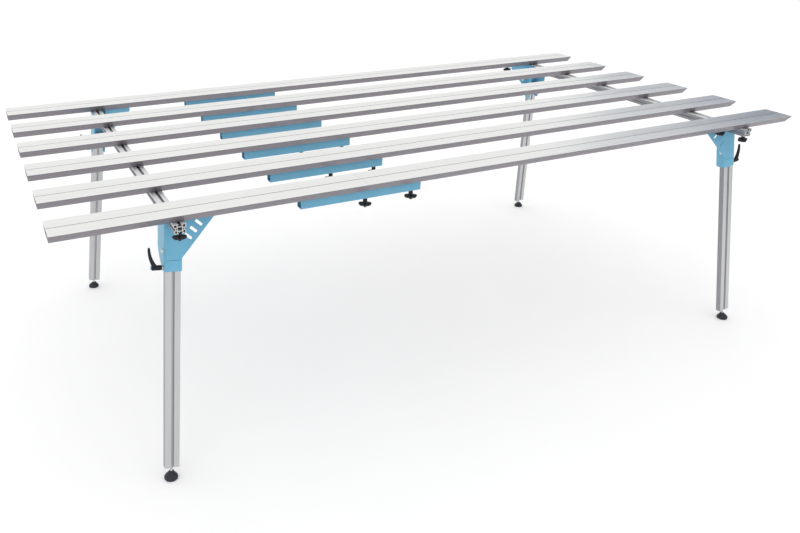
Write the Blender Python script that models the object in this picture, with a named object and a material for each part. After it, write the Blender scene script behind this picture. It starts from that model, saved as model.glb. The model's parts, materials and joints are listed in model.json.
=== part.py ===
"""Large-format tile cutter table: six-rail aluminium deck on two crossbeams,
with four folding, splayed legs in sheet-steel corner brackets.

Metres, +Z up, floor at Z = 0, +X along the rails, the work side at -Y.
Corner pieces are modelled once in a corner frame (x and y point to the middle
of the table, z up, origin on the floor under the crossing of the crossbeam's
and the outer rail's centre lines) and mirrored to the four corners.
"""
import math

import bmesh
import bpy
from mathutils import Matrix, Vector
from mathutils.geometry import tessellate_polygon

# Clearances
SEAT = 0.0003          # between pieces that touch
RUN = 0.0005           # round the leg in its bracket, and round studs and bolts
NOTCH = 0.0004         # round a crossbeam where it passes a bracket

# Deck
TABLE_H = 0.845        # floor to the rails' top faces
RAILS = 6
RAIL_PITCH = 0.2475
RAIL_W = 0.113         # top face
RAIL_FOOT_W = 0.069    # underside
RAIL_H = 0.026
RAIL_WALL = 0.0025
RAIL_LIP = 0.0015      # upright edge at the sides of the top face
RAIL_EDGE = 0.00075    # slope under that edge
RAIL_GROOVE_W = 0.004  # the centre line in the top face
RAIL_GROOVE_FOOT_W = 0.002
RAIL_GROOVE_D = 0.0012
SHORT_LEN = 0.900
LONG_LEN = 1.800

# Rail connectors
CONN_LEN = 0.400
CONN_W = 0.030
CONN_H = 0.034
CONN_WALL = 0.0025
CONN_CORNER = 0.00175
CONN_KNOB_A = 0.016    # from the seam to the first knob
CONN_KNOB_END = 0.025  # from the connector's end to the second knob

# Crossbeams
BEAM_LEFT = 0.3335     # from the deck's left end
BEAM_RIGHT = 0.2145    # from the deck's right end
BEAM_TOP_W = 0.036
BEAM_FOOT_W = 0.031
BEAM_H = 0.028
BEAM_LIP = 0.003       # upright edge at the top of each side
BEAM_WALL = 0.0025
BEAM_INSET = 0.006     # beam's end behind the outer rail's edge
BEAM_SLOT_W = 0.008
BEAM_SLOT_D = 0.007

# Legs
LEG_W = 0.045          # along the table
LEG_D = 0.0225         # across the table
LEG_SLOT_W = 0.0082
LEG_SLOT_IN_W = 0.0146
LEG_SLOT_LIP = 0.0018
LEG_WALL = 0.0016
LEG_EDGE = 0.0012      # broken edges
LEG_END_Z = 0.040      # middle of the leg's lower end above the floor
SPLAY_X = math.radians(7.7)
SPLAY_Y = math.radians(8.1)
PIVOT_DROP = 0.107     # pivot below the rails' underside
PIVOT_IN = 0.0246      # pivot inside the outer rail's centre line
PIVOT_OUT = 0.0105     # and outside the crossbeam's
BOLT_R = 0.003
BOLT_HEAD_R = 0.0068
BOLT_HEAD_H = 0.005

# Levelling feet
FOOT_R = 0.0215
FOOT_H = 0.018
FOOT_DOME = ((0.0, 0.93), (0.10, 1.0), (0.32, 0.97), (0.55, 0.80))  # shares of height and radius
FOOT_CAP = ((0.80, 0.50), (1.0, 0.36))  # the same, where the foot leans with the leg
FOOT_NECK = 0.0045     # from the cap's top to the bare stem
STEM_R = 0.004
STEM_IN = 0.045        # length of stem inside the leg

# Corner brackets
SHEET = 0.003
SLEEVE_DROP = 0.0585   # sleeve below the pivot
SLEEVE_DEEP = 0.038    # sleeve's sides at the mouth, over the front plate
SLEEVE_CORNER = 0.006
SETBACK = 0.0003       # of the sides from the front plate's edges, at the folds
BAND_H = 0.033         # clamping band at the sleeve's mouth
HEEL_H = 0.040         # gusset starts this far above the mouth
GUSSET_OUT = 0.129     # gusset's reach from the crossbeam's centre
GUSSET_EDGE = 0.012    # upright edge at the gusset's tip
WING = 0.040           # outer side's reach behind the sleeve
WING_FROM = 0.012      # wing starts this far above the sleeve's mouth
WING_RISE = 0.055
CLAMP_HOLE_AT = 0.082  # rail clamp's hole in the flange, from the crossbeam's centre
CLAMP_HOLE_STEP = 0.054  # to the second hole
FLANGE_TIP = 0.026     # flange past the last clamp hole
FLANGE_MARGIN = 0.014  # flange past the clamp holes' line
GUSSET_SLOTS = 3
GUSSET_SLOT_W = 0.008
GUSSET_SLOT_LEN = 0.026
GUSSET_SLOT_STEP = 0.024
GUSSET_SLOT_IN = 0.024  # slots' middle from the sloping edge
WING_STEPS = 8
SCORE_W = 0.0016
SCORE_D = 0.0008

# Clamp levers
LEVER_UP = 0.010       # lever's axis above the sleeve's mouth
LEVER_STUD_R = 0.004
LEVER_HUB_R = 0.0075
LEVER_HUB_FOOT_R = 0.00675
LEVER_HUB_TAPER = 0.0072  # length of the hub's taper to its foot
LEVER_HUB_LEN = 0.036
LEVER_BEND_R = 0.0086  # path's radius from the hub into the arm
LEVER_BEND_STEPS = 3
LEVER_ARM = 0.062
LEVER_ARM_R = 0.0056
LEVER_TIP_R = 0.0042
LEVER_END_R = 0.0023   # flat end past the rounded tip
LEVER_TIP_FROM = 0.95  # share of the arm where the tip starts to round
LEVER_LEAN = math.radians(9.0)

# Star knobs
KNOB_LOBES = 4
KNOB_POINTS = 20       # round the head; the neck and the stud have half as many
KNOB_R = 0.020         # over the lobes
KNOB_HOLLOW_R = 0.0096  # between the lobes
KNOB_EDGE = 0.0036     # rounding of the head's edges, inward
KNOB_EDGE_H = 0.0033   # and along the axis
KNOB_HEAD = 0.013
KNOB_NECK = 0.016
KNOB_NECK_R = 0.0065
KNOB_COLLAR_R = 0.0073  # neck where it meets the head
KNOB_STUD_R = 0.004
END_KNOB_IN = 0.014    # from the crossbeam's end
END_KNOB_NECK = 0.010
CLAMP_NECK = 0.010
CLAMP_GAP = 0.002      # between a clamp knob and the front plate
STUD_BITE = 0.006      # stud inside the piece that it screws into

# Derived
DECK_L = SHORT_LEN + LONG_LEN
DECK_D = RAIL_PITCH * (RAILS - 1) + RAIL_W
RAIL_FOOT_Z = TABLE_H - RAIL_H
PIVOT_Z = RAIL_FOOT_Z - PIVOT_DROP
BEAM_TOP_Z = RAIL_FOOT_Z - SEAT
BEAM_FOOT_Z = BEAM_TOP_Z - BEAM_H
CONN_TOP_Z = RAIL_FOOT_Z - SEAT
CONN_FOOT_Z = CONN_TOP_Z - CONN_H
FLANGE_TOP_Z = RAIL_FOOT_Z - SEAT
SEAM_X = -DECK_L / 2 + SHORT_LEN
RAIL_Y0 = -RAIL_PITCH * (RAILS - 1) / 2
BEAM_X = {"left": -DECK_L / 2 + BEAM_LEFT, "right": DECK_L / 2 - BEAM_RIGHT}
CLAMP_HOLES = (CLAMP_HOLE_AT, CLAMP_HOLE_AT + CLAMP_HOLE_STEP)
FAR = 1.0              # past every face of a corner, for cutters
SMOOTH_UNDER = math.radians(40.0)  # edges flatter than this are shaded smooth

for old in list(bpy.data.objects):
    bpy.data.objects.remove(old, do_unlink=True)

ALUMINIUM = ("aluminium", (0.80, 0.81, 0.82, 1.0), 1.0, 0.32)
BLUE = ("blue_paint", (0.13, 0.38, 0.56, 1.0), 0.0, 0.38)
BLACK = ("black_plastic", (0.016, 0.015, 0.019, 1.0), 0.0, 0.42)
STEEL = ("bright_steel", (0.72, 0.72, 0.71, 1.0), 1.0, 0.25)


def material(node, finish):
    label, colour, metallic, roughness = finish
    mat = bpy.data.materials.new(node + "_" + label)
    mat.use_nodes = True
    shader = mat.node_tree.nodes["Principled BSDF"]
    shader.inputs["Base Color"].default_value = colour
    shader.inputs["Metallic"].default_value = metallic
    shader.inputs["Roughness"].default_value = roughness
    return mat


def new_object(name, verts, faces):
    mesh = bpy.data.meshes.new(name)
    mesh.from_pydata([tuple(v) for v in verts], [], faces)
    bm = bmesh.new()
    bm.from_mesh(mesh)
    bmesh.ops.recalc_face_normals(bm, faces=bm.faces)
    bm.to_mesh(mesh)
    bm.free()
    obj = bpy.data.objects.new(name, mesh)
    bpy.context.scene.collection.objects.link(obj)
    return obj


def prism(name, outline, c0, c1, place, holes=()):
    """Extrude a 2-D outline with holes from c0 to c1; place maps (a, b, c)."""
    loops = [outline] + list(holes)
    flat = [p for loop in loops for p in loop]
    count = len(flat)
    verts = [place(a, b, c0) for a, b in flat] + [place(a, b, c1) for a, b in flat]
    caps = tessellate_polygon([[Vector((a, b, 0.0)) for a, b in loop] for loop in loops])
    faces = [tuple(t) for t in caps] + [tuple(i + count for i in reversed(t)) for t in caps]
    start = 0
    for loop in loops:
        size = len(loop)
        for i in range(size):
            a, b = start + i, start + (i + 1) % size
            faces.append((a, b, b + count, a + count))
        start += size
    return new_object(name, verts, faces)


def loft(name, rings):
    """Skin closed rings; a ring may have half the points of the one before."""
    verts, starts = [], []
    for ring in rings:
        starts.append(len(verts))
        verts.extend(ring)
    faces = []
    for k in range(len(rings) - 1):
        a, b, m, n = starts[k], starts[k + 1], len(rings[k]), len(rings[k + 1])
        for i in range(n):
            j = (i + 1) % n
            if m == n:
                faces.append((a + i, a + j, b + j, b + i))
            else:
                p, q, r = a + 2 * i, a + 2 * i + 1, a + (2 * i + 2) % m
                faces += [(p, q, b + i), (q, b + j, b + i), (q, r, b + j)]
    for k, flip in ((0, True), (len(rings) - 1, False)):
        ring = rings[k]
        centre = len(verts)
        verts.append(sum((Vector(p) for p in ring), Vector()) / len(ring))
        for i in range(len(ring)):
            a, b = starts[k] + i, starts[k] + (i + 1) % len(ring)
            faces.append((b, a, centre) if flip else (a, b, centre))
    return new_object(name, verts, faces)


def boolean(obj, tool, operation):
    mod = obj.modifiers.new("cut", "BOOLEAN")
    mod.operation = operation
    mod.object = tool
    mod.solver = "EXACT"
    graph = bpy.context.evaluated_depsgraph_get()
    mesh = bpy.data.meshes.new_from_object(obj.evaluated_get(graph))
    obj.modifiers.clear()
    obj.data = mesh
    bpy.data.objects.remove(tool, do_unlink=True)
    return obj


def circle(radius, count, centre=(0.0, 0.0), turn=0.0):
    return [(centre[0] + radius * math.cos(turn + 2 * math.pi * i / count),
             centre[1] + radius * math.sin(turn + 2 * math.pi * i / count)) for i in range(count)]


def stadium(length, width, centre, angle, count=5):
    """Round-ended slot outline."""
    out = []
    r, half = width / 2, (length - width) / 2
    for end, first in ((half, -math.pi / 2), (-half, math.pi / 2)):
        for i in range(count + 1):
            a = first + math.pi * i / count
            out.append((end + r * math.cos(a), r * math.sin(a)))
    c, s = math.cos(angle), math.sin(angle)
    return [(centre[0] + c * a - s * b, centre[1] + s * a + c * b) for a, b in out]


def finish(obj, name, look, origin):
    """Name the node, move its origin and give it its own material."""
    obj.name = name
    obj.data.name = name
    obj.data.transform(Matrix.Translation(-Vector(origin)))
    obj.location = origin
    obj.data.materials.clear()
    obj.data.materials.append(material(name, look))
    obj.data.shade_smooth()
    obj.data.set_sharp_from_angle(angle=SMOOTH_UNDER)
    return obj


# Rails: hollow trapezoid extrusions, two lengths butted at the seam
def rail_outline():
    w, f, h, g = RAIL_W / 2, RAIL_FOOT_W / 2, RAIL_H, RAIL_GROOVE_W / 2
    right = [(f, -h), (w - RAIL_EDGE, -RAIL_WALL), (w, -RAIL_LIP), (w, 0.0), (g, 0.0),
             (RAIL_GROOVE_FOOT_W / 2, -RAIL_GROOVE_D)]
    return right + [(-a, b) for a, b in reversed(right)]


def rail_cells():
    """Three chambers between the two inner webs and the sloping sides."""
    t = RAIL_WALL
    top, foot = -t - RAIL_GROOVE_D, -RAIL_H + t
    web = RAIL_FOOT_W / 2 - 2 * t
    slope = (RAIL_W - RAIL_FOOT_W) / 2 / RAIL_H
    side_t = t * math.hypot(1.0, slope)

    def side(z):
        return RAIL_FOOT_W / 2 + (z + RAIL_H) * slope - side_t
    outer = [(web + t / 2, foot), (side(foot), foot), (side(top), top), (web + t / 2, top)]
    middle = [(-web + t / 2, foot), (web - t / 2, foot), (web - t / 2, top), (-web + t / 2, top)]
    return [middle, outer, [(-a, b) for a, b in reversed(outer)]]


def along_x(y, z):
    return lambda a, b, c: Vector((c, y + a, z + b))


def upright(a, b, c):
    return Vector((a, b, c))


def drill(obj, x, y, z0, z1, radius, count=12):
    tool = prism("drill", circle(radius, count), z0, z1, lambda a, b, c: Vector((x + a, y + b, c)))
    return boolean(obj, tool, "DIFFERENCE")


KNOB_XS = (SEAM_X + CONN_KNOB_A, SEAM_X + CONN_LEN / 2 - CONN_KNOB_END)
for n in range(RAILS):
    y = RAIL_Y0 + n * RAIL_PITCH
    place = along_x(y, TABLE_H)
    short = prism("short", rail_outline(), -DECK_L / 2, SEAM_X - SEAT / 2, place, rail_cells())
    finish(short, f"rail_{n + 1}_short", ALUMINIUM, (-DECK_L / 2 + SHORT_LEN / 2, y, TABLE_H))
    long = prism("long", rail_outline(), SEAM_X + SEAT / 2, DECK_L / 2, place, rail_cells())
    for x in KNOB_XS:
        drill(long, x, y, RAIL_FOOT_Z - RAIL_WALL, RAIL_FOOT_Z + 2 * RAIL_WALL, KNOB_STUD_R + RUN)
    finish(long, f"rail_{n + 1}_long", ALUMINIUM, (DECK_L / 2 - LONG_LEN / 2, y, TABLE_H))

    # Connector: rectangular tube under the seam, open at both ends
    w, h, t, r = CONN_W / 2, CONN_H, CONN_WALL, CONN_CORNER
    outline = [(-w + r, -h), (w - r, -h), (w, -h + r), (w, -r), (w - r, 0.0), (-w + r, 0.0),
               (-w, -r), (-w, -h + r)]
    bore = [(-w + t, -h + t), (w - t, -h + t), (w - t, -t), (-w + t, -t)]
    conn = prism("conn", outline, SEAM_X - CONN_LEN / 2, SEAM_X + CONN_LEN / 2,
                 along_x(y, CONN_TOP_Z), [bore])
    for x in KNOB_XS:
        drill(conn, x, y, CONN_FOOT_Z - t, CONN_TOP_Z + t, KNOB_STUD_R + RUN)
    finish(conn, f"connector_{n + 1}", BLUE, (SEAM_X, y, CONN_TOP_Z))


# Star knobs
def star_knob(name, at, neck, stud):
    """Lobed knob hanging from its seat at 'at', stud pointing up."""
    def ring(z, radius, wave=0.0, count=KNOB_POINTS // 2):
        pts = []
        for i in range(count):
            a = 2 * math.pi * i / count
            r = radius + wave * math.cos(KNOB_LOBES * a)
            pts.append(Vector((at[0] + r * math.cos(a), at[1] + r * math.sin(a), at[2] + z)))
        return pts

    def head(z, inset):
        return ring(z, (KNOB_R + KNOB_HOLLOW_R) / 2 - inset, (KNOB_R - KNOB_HOLLOW_R) / 2, KNOB_POINTS)
    low = -neck - KNOB_HEAD
    rings = [head(low, KNOB_EDGE), head(low + KNOB_EDGE_H, 0.0), head(-neck - KNOB_EDGE_H, 0.0),
             head(-neck, KNOB_EDGE), ring(-neck, KNOB_COLLAR_R), ring(0.0, KNOB_NECK_R),
             ring(0.0, KNOB_STUD_R), ring(stud, KNOB_STUD_R)]
    return finish(loft("knob", rings), name, BLACK, at)


for n in range(RAILS):
    y = RAIL_Y0 + n * RAIL_PITCH
    for x, tag in zip(KNOB_XS, "ab"):
        star_knob(f"connector_knob_{n + 1}{tag}", (x, y, CONN_FOOT_Z - SEAT), KNOB_NECK,
                  CONN_H + 2 * SEAT + RAIL_WALL + STUD_BITE)


# Crossbeams: slightly tapering extrusions with a top slot and a foot slot
FOOT_SLOT_W = 2 * (KNOB_STUD_R + RUN)


def beam_outline():
    w, f, h = BEAM_TOP_W / 2, BEAM_FOOT_W / 2, BEAM_H
    s, d, foot = BEAM_SLOT_W / 2, BEAM_SLOT_D, FOOT_SLOT_W / 2
    right = [(foot, -h + d), (foot, -h), (f, -h), (w, -BEAM_LIP), (w, 0.0), (s, 0.0), (s, -d)]
    return right + [(-a, b) for a, b in reversed(right)]


def beam_envelope(gap):
    """The beam's outside with a clearance, for the brackets' notches."""
    w, f, h = BEAM_TOP_W / 2 + gap, BEAM_FOOT_W / 2 + gap, BEAM_H + gap
    return [(-f, -h), (f, -h), (w, -BEAM_LIP), (w, BEAM_H), (-w, BEAM_H), (-w, -BEAM_LIP)]


def beam_cells():
    """Round chambers: one in the middle, two beside the slot and two in the foot."""
    r = BEAM_H / 2 - BEAM_SLOT_D - BEAM_WALL
    top_r = (BEAM_TOP_W - BEAM_SLOT_W) / 4 - BEAM_WALL
    low_r = (BEAM_FOOT_W - FOOT_SLOT_W) / 4 - BEAM_WALL
    cells = [circle(r, 8, (0.0, -BEAM_H / 2))]
    for s in (-1, 1):
        cells.append(circle(top_r, 8, (s * (BEAM_TOP_W + BEAM_SLOT_W) / 4, -BEAM_WALL - top_r)))
        cells.append(circle(low_r, 8, (s * (BEAM_FOOT_W + FOOT_SLOT_W) / 4, -BEAM_H + BEAM_WALL + low_r)))
    return cells


BEAM_HALF = DECK_D / 2 - BEAM_INSET
for side, x in BEAM_X.items():
    beam = prism("beam", beam_outline(), -BEAM_HALF, BEAM_HALF,
                 lambda a, b, c, x=x: Vector((x + a, c, BEAM_TOP_Z + b)), beam_cells())
    finish(beam, f"crossbeam_{side}", ALUMINIUM, (x, 0.0, BEAM_TOP_Z))

# Corner frame
W_AXIS = Vector((math.tan(SPLAY_X), math.tan(SPLAY_Y), 1.0)).normalized()
U_AXIS = Vector((math.cos(SPLAY_X), 0.0, -math.sin(SPLAY_X)))
V_AXIS = W_AXIS.cross(U_AXIS).normalized()
PIVOT = Vector((-PIVOT_OUT, PIVOT_IN, PIVOT_Z))
HALF_W = LEG_W / 2 + RUN        # inside of the sleeve
HALF_D = LEG_D / 2 + RUN
OUT_W = HALF_W + SHEET          # outside of the sleeve
OUT_D = HALF_D + SHEET
MOUTH = -SLEEVE_DROP
TOP = FLANGE_TOP_Z - PIVOT_Z + WING_RISE
BEAM_FRONT = -(RAIL_W / 2 - BEAM_INSET)


def leg_point(u, v, w):
    return PIVOT + U_AXIS * u + V_AXIS * v + W_AXIS * w


def plate_uw(x, z, v):
    """Coordinates (u, w) of the point at corner x and z on the plane at v."""
    dx, dz = x - PIVOT.x - V_AXIS.x * v, z - PIVOT.z - V_AXIS.z * v
    u = (dx * W_AXIS.z - dz * W_AXIS.x) / (U_AXIS.x * W_AXIS.z - U_AXIS.z * W_AXIS.x)
    return u, (dz - u * U_AXIS.z) / W_AXIS.z


def plate_y(x, z, v):
    u, w = plate_uw(x, z, v)
    return leg_point(u, v, w).y


CLAMP_SEAT_Z = FLANGE_TOP_Z - SHEET - SEAT
CLAMP_Y = plate_y(CLAMP_HOLES[0], CLAMP_SEAT_Z - CLAMP_NECK - KNOB_HEAD, -OUT_D) - KNOB_R - CLAMP_GAP


def bore_u(radius, u0, u1, w, count=12):
    return prism("bore", circle(radius, count), u0, u1,
                 lambda a, b, c: leg_point(c, a, w + b))


def corner_bracket(reach, holes):
    """Folded corner bracket: front plate with gusset, two sleeve sides, flange."""
    tip_low = plate_uw(GUSSET_OUT, FLANGE_TOP_Z - GUSSET_EDGE, -OUT_D)
    tip_top = plate_uw(GUSSET_OUT, FLANGE_TOP_Z + GUSSET_EDGE, -OUT_D)
    heel = (OUT_W, MOUTH + HEEL_H)
    front = [(-OUT_W, MOUTH), (OUT_W, MOUTH), heel, tip_low, tip_top, (-OUT_W, TOP)]
    run = Vector((tip_low[0] - heel[0], tip_low[1] - heel[1]))
    along = run.normalized()
    inward = Vector((-along.y, along.x))
    slope = math.atan2(inward.y, inward.x)
    slots = []
    for k in range(GUSSET_SLOTS):
        step = run.length / 2 + (k - (GUSSET_SLOTS - 1) / 2) * GUSSET_SLOT_STEP
        c = Vector(heel) + along * step + inward * GUSSET_SLOT_IN
        slots.append(stadium(GUSSET_SLOT_LEN, GUSSET_SLOT_W, c, slope))
    plate = prism("front", front, -OUT_D, -HALF_D, lambda a, b, c: leg_point(a, c, b), slots)

    # Sleeve sides: the outer one widens upward into a convex wing
    fold, back = -OUT_D + SHEET / 2, -OUT_D + SLEEVE_DEEP
    low, high, side = MOUTH + SETBACK, TOP - SETBACK, OUT_W - SETBACK
    mouth = [(fold, low), (back - SLEEVE_CORNER, low), (back, low + SLEEVE_CORNER)]
    arc = [(back + WING * math.sin(math.pi / 2 * k / WING_STEPS),
            MOUTH + WING_FROM + WING_RISE * k / WING_STEPS) for k in range(WING_STEPS + 1)]
    outer = prism("outer", mouth + arc + [(back + WING, high), (fold, high)], -side, -HALF_W,
                  lambda a, b, c: leg_point(c, a, b))
    inner = prism("inner", mouth + [(back, high), (fold, high)], HALF_W, side,
                  lambda a, b, c: leg_point(c, a, b))
    body = boolean(boolean(plate, outer, "UNION"), inner, "UNION")

    # Flange: bent outward from the plate's top edge, under the rail
    x0, edge = BEAM_TOP_W / 2, CLAMP_Y - FLANGE_MARGIN
    bend = [plate_y(x, FLANGE_TOP_Z - SHEET / 2, -(OUT_D + HALF_D) / 2) for x in (x0, reach)]
    tab = [(x0, edge), (reach, edge), (reach, bend[1]), (x0, bend[0])]
    flange = prism("flange", tab, FLANGE_TOP_Z - SHEET, FLANGE_TOP_Z + SHEET, upright)
    body = boolean(body, flange, "UNION")
    lid = prism("lid", [(-FAR, -FAR), (FAR, -FAR), (FAR, FAR), (-FAR, FAR)], FLANGE_TOP_Z,
                FLANGE_TOP_Z + FAR, upright)
    body = boolean(body, lid, "DIFFERENCE")
    notch = prism("notch", beam_envelope(NOTCH), -FAR, FAR,
                  lambda a, b, c: Vector((a, c, BEAM_TOP_Z + b)))
    body = boolean(body, notch, "DIFFERENCE")

    # Bolt holes, the lever's hole and the score line over the clamping band
    body = boolean(body, bore_u(BOLT_R + RUN, -2 * OUT_W, 2 * OUT_W, 0.0), "DIFFERENCE")
    body = boolean(body, bore_u(LEVER_STUD_R + RUN, -2 * OUT_W, 0.0, MOUTH + LEVER_UP), "DIFFERENCE")
    low, high = MOUTH + BAND_H - SCORE_W / 2, MOUTH + BAND_H + SCORE_W / 2
    score = [(-OUT_W + 2 * SHEET, low), (OUT_W + SHEET, low), (OUT_W + SHEET, high),
             (-OUT_W + 2 * SHEET, high)]
    body = boolean(body, prism("score", score, -OUT_D - SCORE_D, -OUT_D + SCORE_D,
                               lambda a, b, c: leg_point(a, c, b)), "DIFFERENCE")
    for x in holes:
        body = drill(body, x, CLAMP_Y, FLANGE_TOP_Z - 2 * SHEET, FLANGE_TOP_Z + SHEET, KNOB_STUD_R + RUN)
    return body


STEM_BORE_R = STEM_R + RUN
LEG_SLOT_D = LEG_D / 2 - STEM_BORE_R - LEG_WALL


def leg_profile():
    """Flat slotted extrusion: one T-slot in each wide face."""
    w, h, c, s, wide = LEG_W / 2, LEG_D / 2, LEG_EDGE, LEG_SLOT_W / 2, LEG_SLOT_IN_W / 2
    lip, deep = -h + LEG_SLOT_LIP, -h + LEG_SLOT_D
    face = [(-w, -h + c), (-w + c, -h), (-s, -h), (-s, lip), (-wide, lip), (-s, deep), (s, deep),
            (wide, lip), (s, lip), (s, -h), (w - c, -h), (w, -h + c)]
    return face + [(-a, -b) for a, b in face]


def leg_cells():
    """Stem bore and the two side chambers."""
    near, far, h = LEG_SLOT_IN_W / 2 + LEG_WALL, LEG_W / 2 - LEG_WALL, LEG_D / 2 - LEG_WALL
    side = [(near, -h), (far, -h), (far, h), (near, h)]
    return [circle(STEM_BORE_R, 12), side, [(-a, b) for a, b in reversed(side)]]


LEG_END = -(PIVOT_Z - LEG_END_Z) / W_AXIS.z
FLOOR_AT = -PIVOT_Z / W_AXIS.z
GROUND = leg_point(0.0, 0.0, FLOOR_AT)
FOOT_POINTS = 16


def corner_leg():
    """Leg with its top rounded about the pivot, and a through hole for the bolt."""
    leg = prism("leg", leg_profile(), LEG_END, LEG_D, leg_point, leg_cells())
    r, reach, steps = LEG_D / 2 + RUN / 2, LEG_D, 12
    crown = [(-reach, LEG_END - LEG_D), (reach, LEG_END - LEG_D), (reach, 0.0)]
    crown += [(r * math.cos(math.pi * k / steps), r * math.sin(math.pi * k / steps))
              for k in range(steps + 1)]
    crown += [(-reach, 0.0)]
    tool = prism("crown", crown, -LEG_W, LEG_W, lambda a, b, c: leg_point(c, a, b))
    leg = boolean(leg, tool, "INTERSECT")
    return boolean(leg, bore_u(BOLT_R + RUN, -LEG_W, LEG_W, 0.0), "DIFFERENCE")


def corner_foot():
    """Domed levelling foot, flat on the floor, with its stem along the leg."""
    def level(centre, radius):
        return [centre + Vector((a, b, 0.0)) for a, b in circle(radius, FOOT_POINTS)]

    def square(w, radius):
        spokes = [Vector((a, b, 0.0)) for a, b in circle(radius, FOOT_POINTS)]
        return [leg_point(0.0, 0.0, w) + p - W_AXIS * W_AXIS.dot(p) for p in spokes]
    rings = [level(GROUND + Vector((0.0, 0.0, FOOT_H * z)), FOOT_R * r) for z, r in FOOT_DOME]
    rings += [level(GROUND + W_AXIS * (FOOT_H * z / W_AXIS.z), FOOT_R * r) for z, r in FOOT_CAP]
    rings += [square(FLOOR_AT + FOOT_H + FOOT_NECK, STEM_R), square(LEG_END + STEM_IN, STEM_R)]
    return loft("foot", rings)


def corner_lever():
    """Clamp lever: stud, hub along the pivot direction, arm swept up and out."""
    w0 = MOUTH + LEVER_UP
    stud, face = LEG_W / 2 + SEAT, OUT_W + SEAT
    bend = face + LEVER_HUB_LEN
    count = 12

    def ring(u, w, heading, radius):
        """Ring across the path; heading 0 runs outward along -u, 90 deg up along w."""
        side_u, side_w = math.sin(heading), math.cos(heading)
        return [leg_point(-u, radius * math.cos(a), w0 + w)
                + (U_AXIS * side_u + W_AXIS * side_w) * (radius * math.sin(a))
                for a in (2 * math.pi * i / count for i in range(count))]
    end = math.pi / 2 - LEVER_LEAN
    start = bend - LEVER_BEND_R
    rings = [ring(stud, 0.0, 0.0, LEVER_STUD_R), ring(face, 0.0, 0.0, LEVER_STUD_R),
             ring(face, 0.0, 0.0, LEVER_HUB_FOOT_R), ring(face + LEVER_HUB_TAPER, 0.0, 0.0, LEVER_HUB_R),
             ring(start, 0.0, 0.0, LEVER_HUB_R)]
    for k in range(1, LEVER_BEND_STEPS + 1):
        share = k / LEVER_BEND_STEPS
        u1, w1 = start + LEVER_BEND_R * math.sin(end * share), LEVER_BEND_R * (1 - math.cos(end * share))
        rings.append(ring(u1, w1, end * share, LEVER_HUB_R + (LEVER_ARM_R - LEVER_HUB_R) * share))
    for share, radius in ((LEVER_TIP_FROM, LEVER_TIP_R), (1.0, LEVER_END_R)):
        rise = (LEVER_ARM - w1) * share
        rings.append(ring(u1 + rise * math.tan(LEVER_LEAN), w1 + rise, end, radius))
    return loft("lever", rings)


def corner_bolt():
    """Pivot bolt through the sleeve's sides and the leg, with head and nut."""
    def ring(u, radius, hexed):
        pts = []
        for i in range(12):
            a = 2 * math.pi * i / 12
            r = radius * (math.cos(math.pi / 6) if hexed and i % 2 else 1.0)
            pts.append(leg_point(u, r * math.cos(a), r * math.sin(a)))
        return pts
    a, b = OUT_W + SEAT, OUT_W + SEAT + BOLT_HEAD_H
    return loft("bolt", [ring(-b, BOLT_HEAD_R, True), ring(-a, BOLT_HEAD_R, True), ring(-a, BOLT_R, False),
                         ring(a, BOLT_R, False), ring(a, BOLT_HEAD_R, True), ring(b, BOLT_HEAD_R, True)])


CORNERS = {"fl": ("left", 1, 1), "fr": ("right", -1, 1), "rl": ("left", 1, -1), "rr": ("right", -1, -1)}


def to_corner(obj, name, tag, look, pivot):
    """Copy a corner-frame piece to one corner, mirrored as needed."""
    side, sx, sy = CORNERS[tag]
    cx, cy = BEAM_X[side], RAIL_Y0 * sy
    mirror = Matrix.Translation((cx, cy, 0.0)) @ Matrix.Diagonal((sx, sy, 1.0, 1.0))
    copy = bpy.data.objects.new(name, obj.data.copy())
    bpy.context.scene.collection.objects.link(copy)
    copy.data.transform(mirror)
    if sx * sy < 0:
        copy.data.flip_normals()
    return finish(copy, name, look, mirror @ Vector(pivot))


LEVER_AXIS = leg_point(-OUT_W, 0.0, MOUTH + LEVER_UP)
brackets = {"left": corner_bracket(GUSSET_OUT, ()),
            "right": corner_bracket(CLAMP_HOLES[1] + FLANGE_TIP, CLAMP_HOLES)}
CLAMP_AT = {"fr": CLAMP_HOLES[0], "rr": CLAMP_HOLES[1]}
templates = [("leg", corner_leg(), ALUMINIUM, PIVOT), ("foot", corner_foot(), BLACK, GROUND),
             ("clamp_lever", corner_lever(), BLACK, LEVER_AXIS), ("pivot_bolt", corner_bolt(), STEEL, PIVOT)]
for tag, (side, sx, sy) in CORNERS.items():
    to_corner(brackets[side], f"bracket_{tag}", tag, BLUE, PIVOT)
    for name, obj, look, pivot in templates:
        to_corner(obj, f"{name}_{tag}", tag, look, pivot)
    cx, cy = BEAM_X[side], RAIL_Y0 * sy
    star_knob(f"end_knob_{tag}", (cx, cy + sy * (BEAM_FRONT + END_KNOB_IN), BEAM_FOOT_Z - SEAT),
              END_KNOB_NECK, SEAT + STUD_BITE)
    if tag in CLAMP_AT:
        star_knob(f"flange_knob_{tag}", (cx + sx * CLAMP_AT[tag], cy + sy * CLAMP_Y, CLAMP_SEAT_Z),
                  CLAMP_NECK, SHEET)
for obj in list(brackets.values()) + [t[1] for t in templates]:
    bpy.data.objects.remove(obj, do_unlink=True)
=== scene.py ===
"""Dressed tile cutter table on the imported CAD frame: finer pieces, procedural materials, studio."""
import json
import math

import bmesh
import bpy
from mathutils import Matrix, Vector
from mathutils.geometry import tessellate_polygon

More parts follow.
